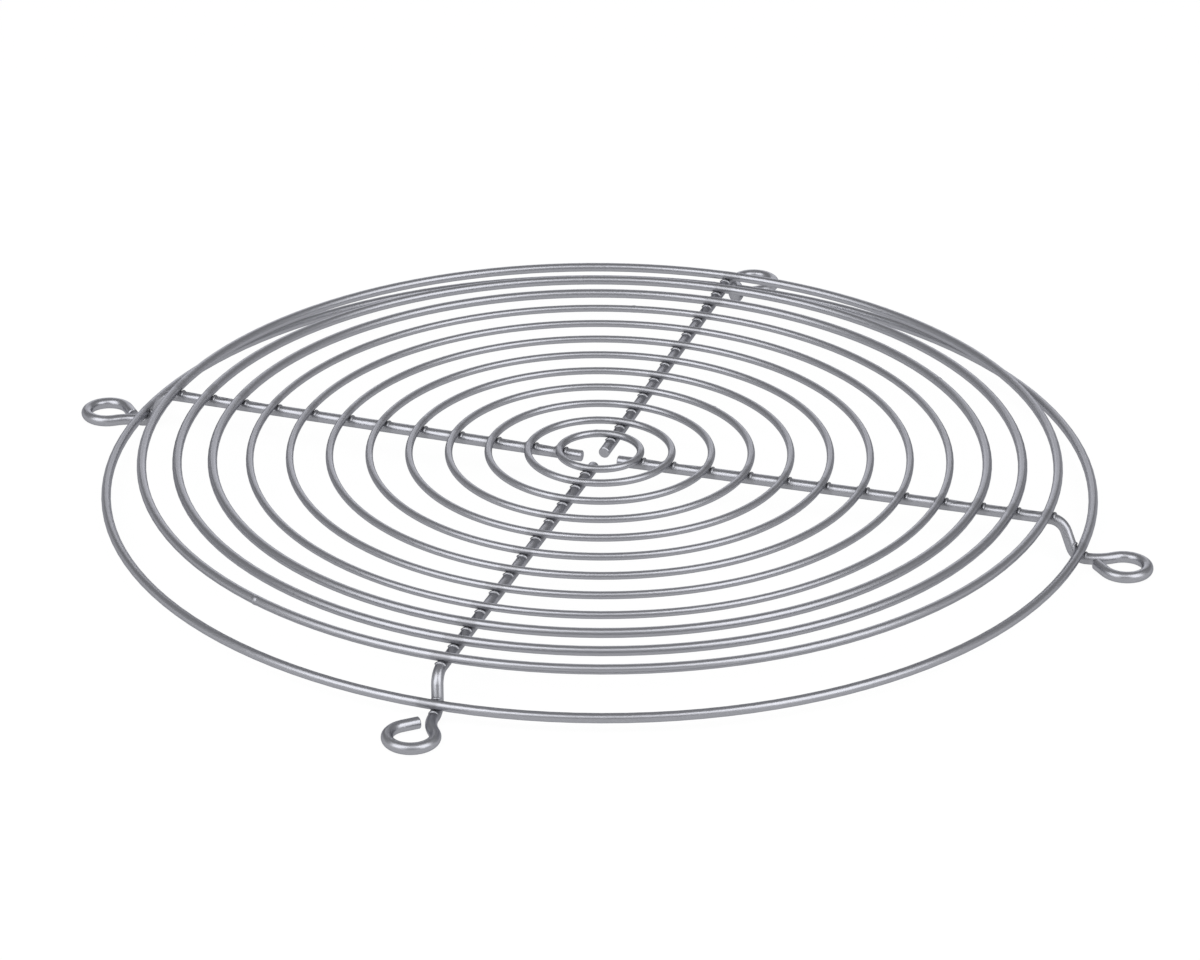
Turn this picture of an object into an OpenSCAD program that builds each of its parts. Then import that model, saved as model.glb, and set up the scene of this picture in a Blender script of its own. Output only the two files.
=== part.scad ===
// Wire fan guard. Twelve flat rings of round wire are resistance welded on top of four radial
// arms. Past the last flat ring each arm joggles down, carries one lower ring in the foot of
// the joggle, and ends in an open eye for one of the fan's mounting bolts.
// The origin is the centre of the bolt circle on the mounting plane, with +Z towards the rings.

/* [Wire] */
// Diameter of the light wire of the hub ring and the inner rings
light_wire_d = 2.0; // [1.6:0.1:2.3]
// Diameter of the heavy wire of the outer rings
heavy_wire_d = 2.5; // [2.2:0.1:2.8]
// Diameter of the wire of the arms
arm_wire_d = 3.0; // [2.8:0.1:3.4]

/* [Rings] */
// Radius of the hub ring, to the middle of its wire
hub_ring_r = 10.8; // [9:0.1:12]
// Radius of the first light ring outside the hub ring
first_light_r = 19.1; // [18:0.1:21]
// Step from the last light ring to the first heavy ring
band_step = 9.8; // [8:0.1:12]
// Step from one heavy ring to the next
heavy_step = 9.3; // [8:0.1:11]
// Step from the last flat ring to the lower ring
lower_ring_step = 9.6; // [9.6:0.1:12]

/* [Arms] */
// Distance from the centre to the cut inner end of the right, back, left and front arm
arm_tip_r = [5.0, 3.6, 4.9, 5.0]; // [3:0.1:7]
// Depth that the weld sets each ring down over the arms
weld_setdown = 0.3; // [0.2:0.05:0.4]
// Height of the joggle between the upper and the lower part of an arm
joggle_drop = 8.4; // [7.6:0.1:9]
// Steepness of the joggle
joggle_angle = 64; // [55:1:70]
// Bend radius at the top of the joggle, to the middle of the wire
joggle_top_r = 5.0; // [4:0.1:5.5]
// Bend radius at the foot of the joggle, to the middle of the wire
joggle_foot_r = 4.2; // [4:0.1:4.8]
// Distance that the lower ring sits inside the end of the foot bend
seat_inset = 1.0; // [0.6:0.1:1.2]
// Sideways lean of the joggle on the right, back, left and front arm
joggle_lean = [22, 4, -8, -11]; // [-25:1:25]
// Bevel round the cut ends of the wire
end_bevel = 0.2; // [0.1:0.05:0.4]

/* [Eyes] */
// Diameter of the bolt circle
bolt_circle_d = 285; // [275:1:300]
// Distance from the lower ring to the bolt circle
eye_reach = 11.9; // [11.8:0.1:14]
// Clear diameter of an eye
eye_bore_d = 8.7; // [7.5:0.1:9]
// Depth of the band that the bending mandrel flattens inside an eye
mandrel_flat = 0.06; // [0.04:0.01:0.1]
// Bend radius of the neck before an eye, to the middle of the wire
neck_r = 11; // [8:0.5:11.5]
// Angle that the neck turns away from the arm
neck_angle = 36; // [30:1:37]
// Angle that an eye wraps round its bolt
eye_wrap = 264; // [260:1:270]
// Gap between the free end of an eye and its arm
eye_end_gap = 0.8; // [0.5:0.1:1.5]

/* [Weld flash] */
// Radius of the ridge of flash beside each weld
flash_r = 0.5; // [0.4:0.05:0.6]
// Height that the ridge stands above the arm
flash_height = 0.35; // [0.25:0.05:0.4]
// Angle that the ridge covers over the top of the arm
flash_wrap = 110; // [80:5:130]

/* [Hidden] */
LIGHT_COUNT = 8;
HEAVY_COUNT = 3;

// Facets for a preview; the curves themselves are true
WIRE_FACETS = 24;
RING_FACETS = 120;
BEND_FACETS = 60;

// Swell and length of the collar over each joint in an arm, which makes one solid of its bends
JOINT_SWELL = 0.01;
JOINT_LENGTH = 0.3;

// Gap between a ring's saddle and the arm in it, and between a ring and the flash beside it
SEAT_CLEARANCE = 0.01;
FLASH_CLEARANCE = 0.05;

// Directions of the right, back, left and front arm
ARM_TURNS = [0, 90, 180, 270];

// Radii of the rings, worked inwards from the bolt circle
bolt_r = bolt_circle_d / 2;
lower_ring_r = bolt_r - eye_reach;
last_heavy_r = lower_ring_r - lower_ring_step;
first_heavy_r = last_heavy_r - heavy_step * (HEAVY_COUNT - 1);
last_light_r = first_heavy_r - band_step;
light_step = (last_light_r - first_light_r) / (LIGHT_COUNT - 1);

// Heights of the wires' centres above the mounting plane
arm_r = arm_wire_d / 2;
foot_z = arm_r;
arm_z = foot_z + joggle_drop;
light_ring_z = arm_z + arm_r + light_wire_d / 2 - weld_setdown;
heavy_ring_z = arm_z + arm_r + heavy_wire_d / 2 - weld_setdown;

// The lower ring is set down into the hollow side of the foot bend, seat_r from its centre
seat_r = joggle_foot_r - arm_r - heavy_wire_d / 2 + weld_setdown;
lower_ring_z = foot_z + joggle_foot_r - sqrt(seat_r * seat_r - seat_inset * seat_inset);
foot_end_x = lower_ring_r + seat_inset;

// Radius of an eye to the middle of its wire
eye_r = eye_bore_d / 2 + arm_r - mandrel_flat;

// Each ring as [radius, wire diameter, height of its centre]
HUB_RING = [hub_ring_r, light_wire_d, light_ring_z];
LIGHT_RINGS = [for (i = [0 : LIGHT_COUNT - 1])
    [first_light_r + light_step * i, light_wire_d, light_ring_z]];
HEAVY_RINGS = [for (i = [0 : HEAVY_COUNT - 1])
    [first_heavy_r + heavy_step * i, heavy_wire_d, heavy_ring_z]];
LOWER_RING = [lower_ring_r, heavy_wire_d, lower_ring_z];
FLAT_RINGS = concat([HUB_RING], LIGHT_RINGS, HEAVY_RINGS);

// Length of the straight slope of a joggle that leans sideways
function slope_length(lean) =
    (joggle_drop / cos(lean) - (joggle_top_r + joggle_foot_r) * (1 - cos(joggle_angle)))
    / sin(joggle_angle);

// Length of arm that a joggle takes up
function joggle_length(lean) =
    (joggle_top_r + joggle_foot_r) * sin(joggle_angle) + slope_length(lean) * cos(joggle_angle);

// Where the foot of a joggle comes out beside its arm
function foot_y(lean) = -joggle_drop * tan(lean);

// Centre of an eye along and beside its arm, for a neck of the given straight length
function eye_place(lean, length) = [
    foot_end_x + (neck_r + eye_r) * sin(neck_angle) + length * cos(neck_angle),
    foot_y(lean) + neck_r - (neck_r + eye_r) * cos(neck_angle) + length * sin(neck_angle)
];

// Distance along a heading from a point to the circle of radius r about the origin,
// to the near side of the circle or the far side
function run_to_circle(point, heading, r, side) =
    let (along = point[0] * cos(heading) + point[1] * sin(heading))
    -along + side * sqrt(along * along + r * r - point * point);

// Straight length of the neck that brings the centre of the eye onto the bolt circle
function neck_length(lean) = run_to_circle(eye_place(lean, 0), neck_angle, bolt_r, 1);

// Centre of the eye along and beside its arm
function eye_centre(lean) = eye_place(lean, neck_length(lean));

// Turn of the arm that puts its eye exactly in the arm's direction
function arm_yaw(lean) = -atan2(eye_centre(lean)[1], eye_centre(lean)[0]);

// Straight length of the eye's free end, up to its gap from the neck's bend
function tail_length(lean) =
    let (
        heading = neck_angle - eye_wrap,
        bend_centre = [foot_end_x, foot_y(lean) + neck_r],
        across = [sin(heading), -cos(heading)],
        loop_end = eye_centre(lean) - (eye_r - arm_r) * across
    )
    run_to_circle(loop_end - bend_centre, heading, neck_r + arm_r + eye_end_gap, -1);

// A ring of wire, whose surface closes on itself halfway between two arms
module ring_wire(ring) {
    translate([0, 0, ring[2]])
        rotate([0, 0, 45])
            rotate_extrude($fn = RING_FACETS)
                translate([ring[0], 0])
                    circle(d = ring[1], $fn = WIRE_FACETS);
}

// Places its children on each arm in turn, along +X, with the arm's lean in $lean
module on_each_arm() {
    for (index = [0 : len(ARM_TURNS) - 1]) {
        $lean = joggle_lean[index];
        rotate([0, 0, ARM_TURNS[index] + arm_yaw($lean)]) children();
    }
}

// A flat ring with the four saddles in which it is set down into the arms
module flat_ring(ring) {
    reach = ring[1];
    color("silver")
        difference() {
            ring_wire(ring);
            on_each_arm()
                translate([ring[0] - reach, 0, arm_z])
                    rotate([0, 90, 0])
                        cylinder(r = arm_r + SEAT_CLEARANCE, h = 2 * reach, $fn = WIRE_FACETS);
        }
}

// A collar a hair thicker than the wire, over the joint between two lengths of an arm
module wire_joint() {
    rotate([0, 90, 0])
        cylinder(r = arm_r + JOINT_SWELL, h = JOINT_LENGTH, center = true, $fn = WIRE_FACETS);
}

// A straight length of arm wire along +X, with the rest of the arm at its end
module straight(length) {
    rotate([0, 90, 0]) cylinder(r = arm_r, h = length, $fn = WIRE_FACETS);
    translate([length, 0, 0]) {
        wire_joint();
        children();
    }
}

// An arc of wire that starts along +X and turns towards +Y
module wire_arc(bend_r, angle, wire_r) {
    translate([0, bend_r, 0])
        rotate([0, 0, -90])
            rotate_extrude(angle = angle, $fn = BEND_FACETS)
                translate([bend_r, 0])
                    circle(r = wire_r, $fn = WIRE_FACETS);
}

// A bend of arm wire towards the given side, where 0 is +Y and 90 is +Z, with the rest of
// the arm at its end
module bend(bend_r, angle, side) {
    rotate([side, 0, 0]) {
        wire_arc(bend_r, angle, arm_r);
        translate([0, bend_r, 0])
            rotate([0, 0, angle])
                translate([0, -bend_r, 0])
                    rotate([-side, 0, 0]) {
                        wire_joint();
                        children();
                    }
    }
}

// A straight length of arm wire along +X that ends the arm with a bevelled cut
module cut_wire(length) {
    rotate([0, 90, 0])
        rotate_extrude($fn = WIRE_FACETS)
            polygon([
                [0, 0],
                [arm_r, 0],
                [arm_r, length - end_bevel],
                [arm_r - end_bevel, length],
                [0, length]
            ]);
}

// The bent wire of an arm along +X, from its cut inner end to the free end of its eye
module bent_wire(tip_r, lean) {
    joggle_start = foot_end_x - joggle_length(lean);
    translate([joggle_start, 0, arm_z]) {
        rotate([0, 0, 180]) cut_wire(joggle_start - tip_r);
        wire_joint();
        bend(joggle_top_r, joggle_angle, -90 - lean)
            straight(slope_length(lean))
                bend(joggle_foot_r, joggle_angle, 90 - lean)
                    bend(neck_r, neck_angle, 0)
                        straight(neck_length(lean))
                            bend(eye_r, eye_wrap, 180)
                                cut_wire(tail_length(lean));
    }
}

// The ridges of flash squeezed out on both sides of a flat ring's weld, over the arm's top
module weld_flash(ring) {
    ridge_r = arm_r + flash_height - flash_r;
    rise = ring[2] - arm_z - ridge_r;
    reach = ring[1] / 2 + flash_r + FLASH_CLEARANCE;
    for (side = [-1, 1])
        translate([ring[0] + side * sqrt(reach * reach - rise * rise), 0, arm_z])
            rotate([0, 90, 0])
                rotate([0, 0, 180 - flash_wrap / 2])
                    rotate_extrude(angle = flash_wrap, $fn = WIRE_FACETS)
                        translate([ridge_r, 0])
                            circle(r = flash_r, $fn = WIRE_FACETS);
}

// A whole arm, with the inside of its eye flattened by the bending mandrel
module arm(index) {
    lean = joggle_lean[index];
    color("silver")
        rotate([0, 0, ARM_TURNS[index]])
            difference() {
                rotate([0, 0, arm_yaw(lean)]) {
                    bent_wire(arm_tip_r[index], lean);
                    for (ring = FLAT_RINGS) weld_flash(ring);
                }
                translate([bolt_r, 0, 0])
                    cylinder(d = eye_bore_d, h = arm_wire_d, $fn = BEND_FACETS);
            }
}

// The lower ring, with the four saddles that the foot bends of the arms leave in it
module lower_ring() {
    color("silver")
        difference() {
            ring_wire(LOWER_RING);
            on_each_arm()
                translate([foot_end_x, foot_y($lean), foot_z])
                    rotate([0, 0, 180])
                        rotate([90 + $lean, 0, 0])
                            wire_arc(joggle_foot_r, joggle_angle, arm_r + SEAT_CLEARANCE);
        }
}

flat_ring(HUB_RING);  // hub_ring
for (i = [1 : LIGHT_COUNT])
    flat_ring(LIGHT_RINGS[i - 1]);
for (i = [1 : HEAVY_COUNT])
    flat_ring(HEAVY_RINGS[i - 1]);
lower_ring();
arm(0);  // arm_right
arm(1);  // arm_back
arm(2);  // arm_left
arm(3);  // arm_front
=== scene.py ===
import math

import bmesh
import bpy
import numpy as np
from mathutils import Matrix, Vector


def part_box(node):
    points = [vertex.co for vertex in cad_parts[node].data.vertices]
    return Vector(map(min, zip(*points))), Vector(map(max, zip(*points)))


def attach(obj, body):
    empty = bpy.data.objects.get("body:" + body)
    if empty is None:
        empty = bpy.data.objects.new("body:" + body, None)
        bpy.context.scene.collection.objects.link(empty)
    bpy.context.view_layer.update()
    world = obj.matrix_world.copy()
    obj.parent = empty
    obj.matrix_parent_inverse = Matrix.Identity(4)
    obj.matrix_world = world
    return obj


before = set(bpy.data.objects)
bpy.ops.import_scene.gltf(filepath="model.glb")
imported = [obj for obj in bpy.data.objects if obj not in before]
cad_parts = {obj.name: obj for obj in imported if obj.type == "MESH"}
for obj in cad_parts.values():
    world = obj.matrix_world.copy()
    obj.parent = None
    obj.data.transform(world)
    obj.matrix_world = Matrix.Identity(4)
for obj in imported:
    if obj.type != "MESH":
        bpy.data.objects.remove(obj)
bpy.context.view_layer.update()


# ---------------------------------------------------------------------------------------------
# Camera
# A long lens looks down on the guard from a little to the left of its front arm's eye, so the
# arms run aslant across the view and the rings lie as flat ovals.
# ---------------------------------------------------------------------------------------------
VIEW_AZIMUTH = math.radians(-71.65)
VIEW_ELEVATION = math.radians(26.286)
VIEW_DISTANCE = 1.2090
VIEW_SIDEWAYS = 0.00007
VIEW_UPWARDS = -0.00766
VIEW_ROLL = math.radians(0.298)
LENS_MM = 136.84

ring_low, ring_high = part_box("light_ring_1")
ring_centre = (ring_low + ring_high) / 2

back = Vector((
    math.cos(VIEW_AZIMUTH) * math.cos(VIEW_ELEVATION),
    math.sin(VIEW_AZIMUTH) * math.cos(VIEW_ELEVATION),
    math.sin(VIEW_ELEVATION),
))
right = Vector((-math.sin(VIEW_AZIMUTH), math.cos(VIEW_AZIMUTH), 0))
up = back.cross(right)
camera_place = ring_centre + back * VIEW_DISTANCE + right * VIEW_SIDEWAYS + up * VIEW_UPWARDS
turned_right = right * math.cos(VIEW_ROLL) + up * math.sin(VIEW_ROLL)
turned_up = up * math.cos(VIEW_ROLL) - right * math.sin(VIEW_ROLL)

camera_data = bpy.data.cameras.new("camera")
camera_data.lens = LENS_MM
camera_data.sensor_fit = "HORIZONTAL"
camera = bpy.data.objects.new("camera", camera_data)
bpy.context.scene.collection.objects.link(camera)
camera.matrix_world = (
    Matrix.Translation(camera_place)
    @ Matrix((turned_right, turned_up, back)).transposed().to_4x4()
)
bpy.context.scene.camera = camera


# ---------------------------------------------------------------------------------------------
# Plated wire
# Every ring and arm is drawn steel wire under one satin silver coat, put on after welding. The
# coat is even, with a fine grain; it is rougher near each weld where ring and arm cross, and its
# colour is darkened there as painted shade.
# ---------------------------------------------------------------------------------------------
class Socket:
    """An output of a node, so that shader sums read as Python: each operator adds a Math node."""

    def __init__(self, tree, link):
        self.tree = tree
        self.link = link

    def node(self, kind, settings=None, inputs=None, output=0):
        """Adds a node of a type, with its settings first and then its sockets' values or links."""
        new = self.tree.nodes.new(kind)
        for name, value in (settings or {}).items():
            setattr(new, name, value)
        for name, value in (inputs or {}).items():
            if isinstance(value, Socket):
                self.tree.links.new(value.link, new.inputs[name])
            else:
                new.inputs[name].default_value = value
        return Socket(self.tree, new.outputs[output] if new.outputs else None)

    def beside(self, output):
        """Another output of the same node."""
        return Socket(self.tree, self.link.node.outputs[output])

    def maths(self, operation, *values):
        """One Math node on this socket or on numbers."""
        return self.node("ShaderNodeMath", {"operation": operation}, dict(enumerate(values)))

    def __add__(self, other):
        return self.maths("ADD", self, other)

    def __sub__(self, other):
        return self.maths("SUBTRACT", self, other)

    def __rsub__(self, other):
        return self.maths("SUBTRACT", other, self)

    def __mul__(self, other):
        return self.maths("MULTIPLY", self, other)

    __radd__ = __add__
    __rmul__ = __mul__


COAT_COLOUR = (0.318, 0.322, 0.348, 1)
# The darker tone that the random cloud mixes towards, and that near the crossings stands in as
# painted shade.
COAT_CLOUD_AND_SHADE = (0.235, 0.238, 0.254, 1)
COAT_METALLIC = 0.9
COAT_ROUGHNESS = 0.3
COAT_EDGE = (0.5, 0.5, 0.53, 1)
CLOUD_SCALE = 90
CLOUD_DETAIL = 3
CLOUD_BREAKUP = 0.5
CLOUD_DULLS = 0.25
CLOUD_ROUGHENS = 0.06
GRAIN_SCALE = 2600
GRAIN_DETAIL = 2
GRAIN_BREAKUP = 0.6
GRAIN_STRENGTH = 0.2
GRAIN_DEPTH = 0.00002
WELD_NEAR = 0.0019
WELD_FAR = 0.0032
# Share by which the coat's colour darkens near a crossing: painted shade where ring and arm meet.
WELD_SHADE_DARKENS = 0.55
WELD_ROUGHENS = 0.05


def silver_coat(name, weld_distance):
    """The plated coat: one colour clouded by slow noise, and darkened as painted shade where the
    given function of place, the distance to the nearest weld, comes under a few millimetres;
    roughness rises with the cloud and near the welds, and the grain lifts the surface by a
    hair."""
    coat = bpy.data.materials.new(name)
    coat.use_nodes = True
    coat.node_tree.nodes.clear()
    place = Socket(coat.node_tree, None).node("ShaderNodeTexCoord", output="Object")
    cloud = place.node("ShaderNodeTexNoise", inputs={
        "Vector": place, "Scale": CLOUD_SCALE, "Detail": CLOUD_DETAIL,
        "Roughness": CLOUD_BREAKUP})
    grain = place.node("ShaderNodeTexNoise", inputs={
        "Vector": place, "Scale": GRAIN_SCALE, "Detail": GRAIN_DETAIL,
        "Roughness": GRAIN_BREAKUP})
    # The mask near each crossing weld: it roughens the coat and darkens its colour as painted
    # shade.
    weld_and_shade = place.node("ShaderNodeMapRange", {"interpolation_type": "SMOOTHSTEP"}, {
        "Value": weld_distance(place), "From Min": WELD_FAR, "From Max": WELD_NEAR,
        "To Min": 0, "To Max": 1})
    # The colour: the random cloud, and painted shade near each crossing weld, both mix towards the
    # darker tone.
    colour = place.node("ShaderNodeMix", {"data_type": "RGBA"}, {
        "Factor": weld_and_shade * WELD_SHADE_DARKENS + cloud * CLOUD_DULLS, "A": COAT_COLOUR, "B": COAT_CLOUD_AND_SHADE},
        output="Result")
    bump = place.node("ShaderNodeBump", inputs={
        "Strength": GRAIN_STRENGTH, "Distance": GRAIN_DEPTH, "Height": grain})
    roughness = COAT_ROUGHNESS + cloud * CLOUD_ROUGHENS + weld_and_shade * WELD_ROUGHENS
    shader = place.node("ShaderNodeBsdfPrincipled", inputs={
        "Base Color": colour, "Metallic": COAT_METALLIC, "Specular Tint": COAT_EDGE,
        "Roughness": roughness, "Normal": bump})
    place.node("ShaderNodeOutputMaterial", inputs={"Surface": shader})
    return coat


def along(place, axis):
    """One of the three numbers of a place, named by its axis."""
    return place.node("ShaderNodeSeparateXYZ", inputs={"Vector": place}, output=axis)


def from_arm_lines(place):
    """Distance to the nearer of the two lines that the arms lie on."""
    x_place, y_place = along(place, "X"), along(place, "Y")
    return place.maths(
        "MINIMUM", place.maths("ABSOLUTE", x_place), place.maths("ABSOLUTE", y_place))


def ring_sizes(name):
    """A ring's radius to the middle of its wire, its wire's radius and its wire's height, all
    from the ring's box, which is as high as the wire is thick."""
    low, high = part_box(name)
    wire_r = (high.z - low.z) / 2
    return high.x - wire_r, wire_r, high.z - wire_r


def from_rings(place):
    """Distance from the nearest ring, as the smallest of the differences between the distance
    from the fan's axis and the rings' radii, each taken from the box of its ring."""
    x_place, y_place = along(place, "X"), along(place, "Y")
    radius = place.maths("SQRT", x_place * x_place + y_place * y_place)
    nearest = None
    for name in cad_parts:
        if "ring" in name:
            gap = place.maths("ABSOLUTE", radius - ring_sizes(name)[0])
            nearest = gap if nearest is None else place.maths("MINIMUM", nearest, gap)
    return nearest


# Rings get the painted shade near the arms' lines, arms near the rings' radii.
ring_coat = silver_coat("silver_coat_of_rings", from_arm_lines)
arm_coat = silver_coat("silver_coat_of_arms", from_rings)
for name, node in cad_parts.items():
    node.data.materials.clear()
    node.data.materials.append(ring_coat if "ring" in name else arm_coat)


# ---------------------------------------------------------------------------------------------
# Foot welds
# The lower ring is resistance welded into the foot of each arm's joggle. The weld squeezes a low
# ridge of steel out on both sides of the ring, over the hollow side of the bend, under the coat.
# ---------------------------------------------------------------------------------------------
ARM_R = 0.0015
ARM_TURNS = (0, 90, 180, 270)
ARM_YAWS = (2.10, 0.97, 0.26, 0.08)
JOGGLE_LEANS = (22, 4, -8, -11)
JOGGLE_DROP = 0.0084
JOGGLE_ANGLE = math.radians(64)
FOOT_BEND_R = 0.0042
SEAT_INSET = 0.001
RIDGE_R = 0.00045
RIDGE_HEIGHT = 0.00034
RIDGE_BURIED = 0.0001
RIDGE_WRAP = math.radians(150)
RIDGE_PAST_FOOT = 0.00017
RIDGE_UP_SLOPE = 0.00059
RIDGE_ROWS = 25
RIDGE_COLUMNS = 14
MERGE_WITHIN = 1e-7


def merged_shape(name, surfaces):
    """A mesh and its editable shape, from surfaces that are each a grid of points whose columns
    close on themselves: neighbouring points make quads, and points that meet are merged."""
    rows, columns = surfaces[0].shape[:2]
    row, column = np.meshgrid(np.arange(rows - 1), np.arange(columns), indexing="ij")
    after = (column + 1) % columns
    corners = np.stack([
        row * columns + column, row * columns + after,
        (row + 1) * columns + after, (row + 1) * columns + column], axis=-1).reshape(-1, 4)
    points = np.concatenate([surface.reshape(-1, 3) for surface in surfaces])
    faces = np.concatenate([
        corners + number * rows * columns for number in range(len(surfaces))])
    mesh = bpy.data.meshes.new(name)
    mesh.from_pydata(points.tolist(), [], faces.tolist())
    shape = bmesh.new()
    shape.from_mesh(mesh)
    bmesh.ops.remove_doubles(shape, verts=shape.verts, dist=MERGE_WITHIN)
    return mesh, shape


def closed_piece(name, surfaces, coat):
    """One object from several closed surfaces, each a grid of points whose end rows meet in a
    point, with its faces turned outwards and shaded smooth."""
    mesh, shape = merged_shape(name, surfaces)
    bmesh.ops.recalc_face_normals(shape, faces=shape.faces)
    shape.to_mesh(mesh)
    shape.free()
    mesh.polygons.foreach_set("use_smooth", np.ones(len(mesh.polygons), dtype=bool))
    mesh.materials.append(coat)
    piece = bpy.data.objects.new(name, mesh)
    bpy.context.scene.collection.objects.link(piece)
    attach(piece, "root")


def weld_ridge(centre, along_wire, hollow):
    """A ridge bent round the arm's wire. At each angle from the hollow side its section is a
    circle, whose radius falls to nothing at the two ends as the square root of one less the
    square of the share of the wrap, while its crest sinks from its height into the wire."""
    share, turn = np.meshgrid(
        np.linspace(-1, 1, RIDGE_ROWS),
        np.linspace(0, 2 * math.pi, RIDGE_COLUMNS, endpoint=False), indexing="ij")
    angle = share * RIDGE_WRAP / 2
    section_r = RIDGE_R * np.sqrt(1 - share**2)
    crest = ARM_R + RIDGE_HEIGHT * (1 - share**2) - RIDGE_BURIED * share**2
    out = crest - section_r + section_r * np.cos(turn)
    side = np.cross(along_wire, hollow)
    spoke = np.cos(angle)[..., None] * hollow + np.sin(angle)[..., None] * side
    return centre + spoke * out[..., None] + (section_r * np.sin(turn))[..., None] * along_wire


ahead = np.array([1.0, 0, 0])
ridges = []
for turn, yaw, lean_degrees in zip(ARM_TURNS, ARM_YAWS, JOGGLE_LEANS):
    spin = np.array(Matrix.Rotation(math.radians(turn + yaw), 3, "Z"))
    lean = math.radians(lean_degrees)
    rise = np.array([0, math.sin(lean), math.cos(lean)])
    foot = np.array([
        ring_sizes("lower_ring")[0] + SEAT_INSET, -JOGGLE_DROP * math.tan(lean), ARM_R])
    ridges.append(weld_ridge(foot + ahead * RIDGE_PAST_FOOT, ahead, rise) @ spin.T)
    slope = rise * math.sin(JOGGLE_ANGLE) - ahead * math.cos(JOGGLE_ANGLE)
    hollow = rise * math.cos(JOGGLE_ANGLE) + ahead * math.sin(JOGGLE_ANGLE)
    bend_end = foot + FOOT_BEND_R * (
        rise * (1 - math.cos(JOGGLE_ANGLE)) - ahead * math.sin(JOGGLE_ANGLE))
    ridges.append(weld_ridge(bend_end + slope * RIDGE_UP_SLOPE, slope, hollow) @ spin.T)
closed_piece("foot_welds", ridges, arm_coat)


# ---------------------------------------------------------------------------------------------
# Ring joints
# Each ring is one length of wire bent round and butt welded end to end. The weld leaves a low
# collar of upset steel where the ends meet, a little to one side because the ends don't line up.
# ---------------------------------------------------------------------------------------------
JOINT_AZIMUTHS = {
    "hub_ring": 113.6,
    "light_ring_1": 80.6,
    "light_ring_2": 141.2,
    "light_ring_3": 58.6,
    "light_ring_8": 102.5,
    "heavy_ring_1": 43.9,
    "heavy_ring_3": -116.3,
}
COLLAR_HALF = 0.0016
COLLAR_WIDTH = 0.0008
COLLAR_HEIGHT = 0.0001
COLLAR_SHIFT = 0.00007
COLLAR_BURIED = 0.00004
COLLAR_ROWS = 27
COLLAR_COLUMNS = 20


def joint_collar(ring_r, wire_r, height, azimuth):
    """A collar round a ring's wire. Its radius is the wire's, less what is buried, plus a bell
    curve of the distance along the ring, and it falls to nothing in the two end rows; its
    middle stands to one side of the wire's by a smaller bell curve."""
    run, turn = np.meshgrid(
        np.linspace(-COLLAR_HALF, COLLAR_HALF, COLLAR_ROWS),
        np.linspace(0, 2 * math.pi, COLLAR_COLUMNS, endpoint=False), indexing="ij")
    bell = np.exp(-((run / COLLAR_WIDTH) ** 2))
    section_r = wire_r - COLLAR_BURIED + COLLAR_HEIGHT * bell
    section_r[[0, -1]] = 0
    out = ring_r + COLLAR_SHIFT * bell + section_r * np.cos(turn)
    angle = azimuth + run / ring_r
    return np.stack([
        out * np.cos(angle), out * np.sin(angle), height + section_r * np.sin(turn)], axis=-1)


collars = [
    joint_collar(*ring_sizes(name), math.radians(azimuth))
    for name, azimuth in JOINT_AZIMUTHS.items()]
closed_piece("ring_joints", collars, ring_coat)


# ---------------------------------------------------------------------------------------------
# Floor and light
# The guard stands on a round white sheet that turns up into a low wall far away, in a studio with
# pale grey walls. Two large soft boxes stand in front of it to the left and right, a weaker one
# hangs over the front, and a lit white panel stands low behind it.
# ---------------------------------------------------------------------------------------------
SHEET_R = 5.0
SHEET_TURN_R = 0.5
SHEET_WALL = 1.2
SHEET_COLOUR = (0.9, 0.9, 0.9, 1)
SHEET_GLOW_COLOUR = (1, 1, 1, 1)
SHEET_GLOW = 1.01
SHEET_GLOW_SHARE = 0.94
SHEET_COLUMNS = 96
SHEET_TURN_ROWS = 12
WALL_COLOUR = (1, 1, 1, 1)
WALL_STRENGTH = 0.38

# The sheet's profile as distance from the middle and height: flat, a quarter circle, then
# straight up. It is carried round clockwise, so that its faces look up and inwards.
bend = np.linspace(0, math.pi / 2, SHEET_TURN_ROWS)
sheet_out = np.concatenate([
    [0.0], SHEET_R + SHEET_TURN_R * np.sin(bend), [SHEET_R + SHEET_TURN_R]])
sheet_up = np.concatenate([[0.0], SHEET_TURN_R * (1 - np.cos(bend)), [SHEET_WALL]])
sheet_turn = np.linspace(0, -2 * math.pi, SHEET_COLUMNS, endpoint=False)
sheet_grid = np.stack([
    np.outer(sheet_out, np.cos(sheet_turn)), np.outer(sheet_out, np.sin(sheet_turn)),
    np.outer(sheet_up, np.ones(SHEET_COLUMNS))], axis=-1)
floor_mesh, floor_shape = merged_shape("floor", [sheet_grid])
floor_shape.to_mesh(floor_mesh)
floor_shape.free()
floor = bpy.data.objects.new("floor", floor_mesh)
bpy.context.scene.collection.objects.link(floor)

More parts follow.
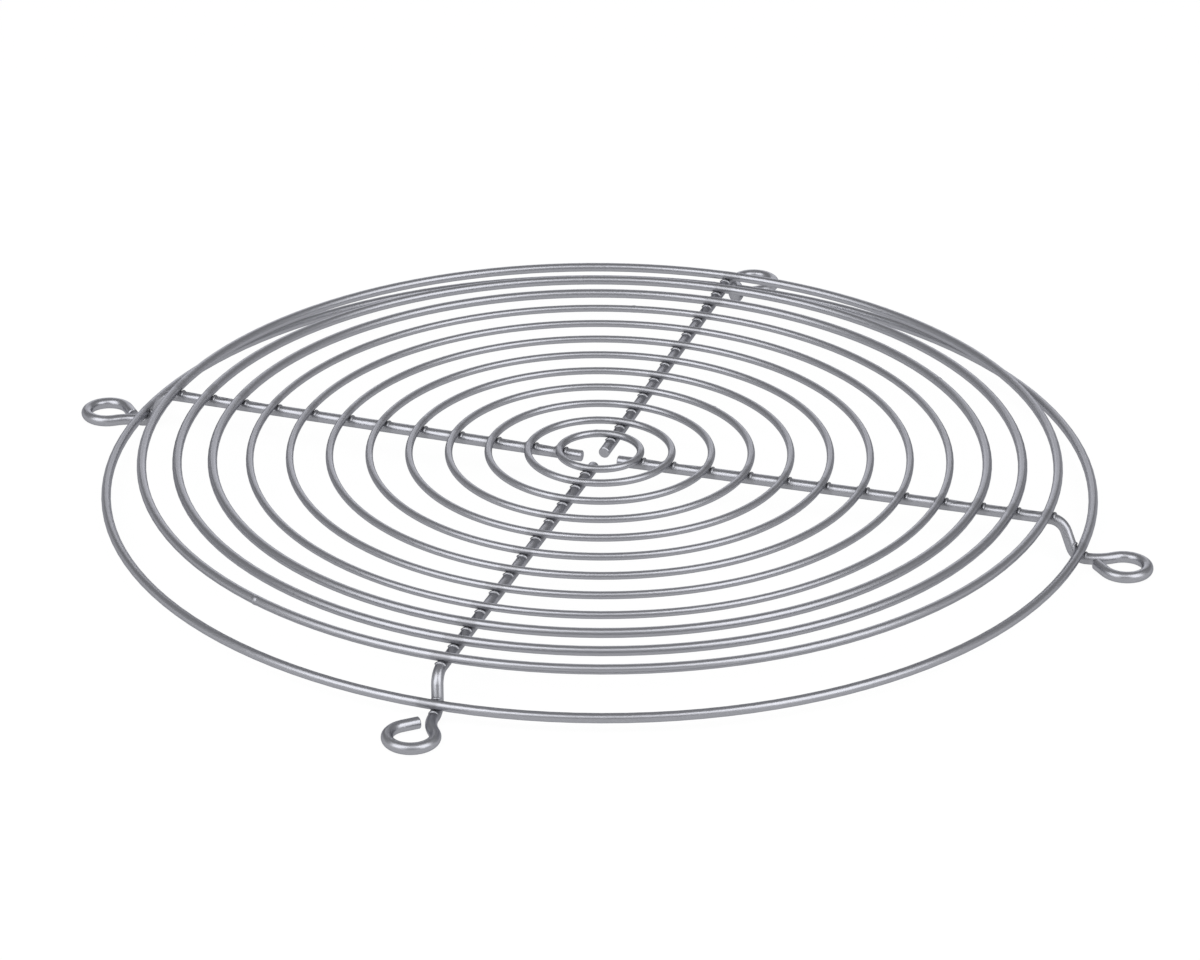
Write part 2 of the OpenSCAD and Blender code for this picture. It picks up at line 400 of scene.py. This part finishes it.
sheet = bpy.data.materials.new("white_sheet")
sheet.use_nodes = True
sheet.node_tree.nodes.clear()
start = Socket(sheet.node_tree, None)
seen = start.node("ShaderNodeLightPath", output="Is Camera Ray")
reflected, refracted = seen.beside("Is Glossy Ray"), seen.beside("Is Transmission Ray")
seen = start.maths("MAXIMUM", start.maths("MAXIMUM", seen, reflected), refracted)
matt = start.node("ShaderNodeBsdfDiffuse", inputs={"Color": SHEET_COLOUR})
glow = start.node("ShaderNodeEmission", inputs={
    "Color": SHEET_GLOW_COLOUR, "Strength": SHEET_GLOW})
both = start.node("ShaderNodeMixShader", inputs={0: seen * SHEET_GLOW_SHARE, 1: matt, 2: glow})
start.node("ShaderNodeOutputMaterial", inputs={"Surface": both})
floor.data.materials.append(sheet)

world = bpy.data.worlds.new("walls")
world.use_nodes = True
world.node_tree.nodes.clear()
start = Socket(world.node_tree, None)
walls = start.node("ShaderNodeBackground", inputs={
    "Color": WALL_COLOUR, "Strength": WALL_STRENGTH})
start.node("ShaderNodeOutputWorld", inputs={"Surface": walls})
bpy.context.scene.world = world


def soft_lamp(name, turn, rise, distance, width, height, glow):
    """A soft box facing the middle of the rings, placed by its turn from the back of the view
    to the left, its rise above the floor and its distance, all from that middle. Its watts are
    pi times its area times the glow wanted of its face."""
    lamp_data = bpy.data.lights.new(name, "AREA")
    lamp_data.shape = "RECTANGLE"
    lamp_data.size = width
    lamp_data.size_y = height
    lamp_data.energy = math.pi * width * height * glow
    lamp = bpy.data.objects.new(name, lamp_data)
    bpy.context.scene.collection.objects.link(lamp)
    turn, rise = math.radians(turn), math.radians(rise)
    level = Vector((back.x, back.y, 0)).normalized()
    towards = (
        (right * -math.sin(turn) - level * math.cos(turn)) * math.cos(rise)
        + Vector((0, 0, math.sin(rise))))
    lamp.location = ring_centre + towards * distance
    lamp.rotation_euler = (-towards).to_track_quat("-Z", "Y").to_euler()
    lamp.visible_camera = False


soft_lamp("left_soft_box", turn=130, rise=39, distance=1.2, width=1.0, height=1.15, glow=2.85)
soft_lamp("right_soft_box", turn=-127, rise=39, distance=1.2, width=0.9, height=1.15, glow=2.85)
soft_lamp("front_scrim", turn=180, rise=50, distance=1.3, width=0.9, height=0.8, glow=1.1)
soft_lamp("back_panel", turn=0, rise=16, distance=1.5, width=1.3, height=0.8, glow=1.5)

bpy.context.scene.view_settings.view_transform = "Standard"
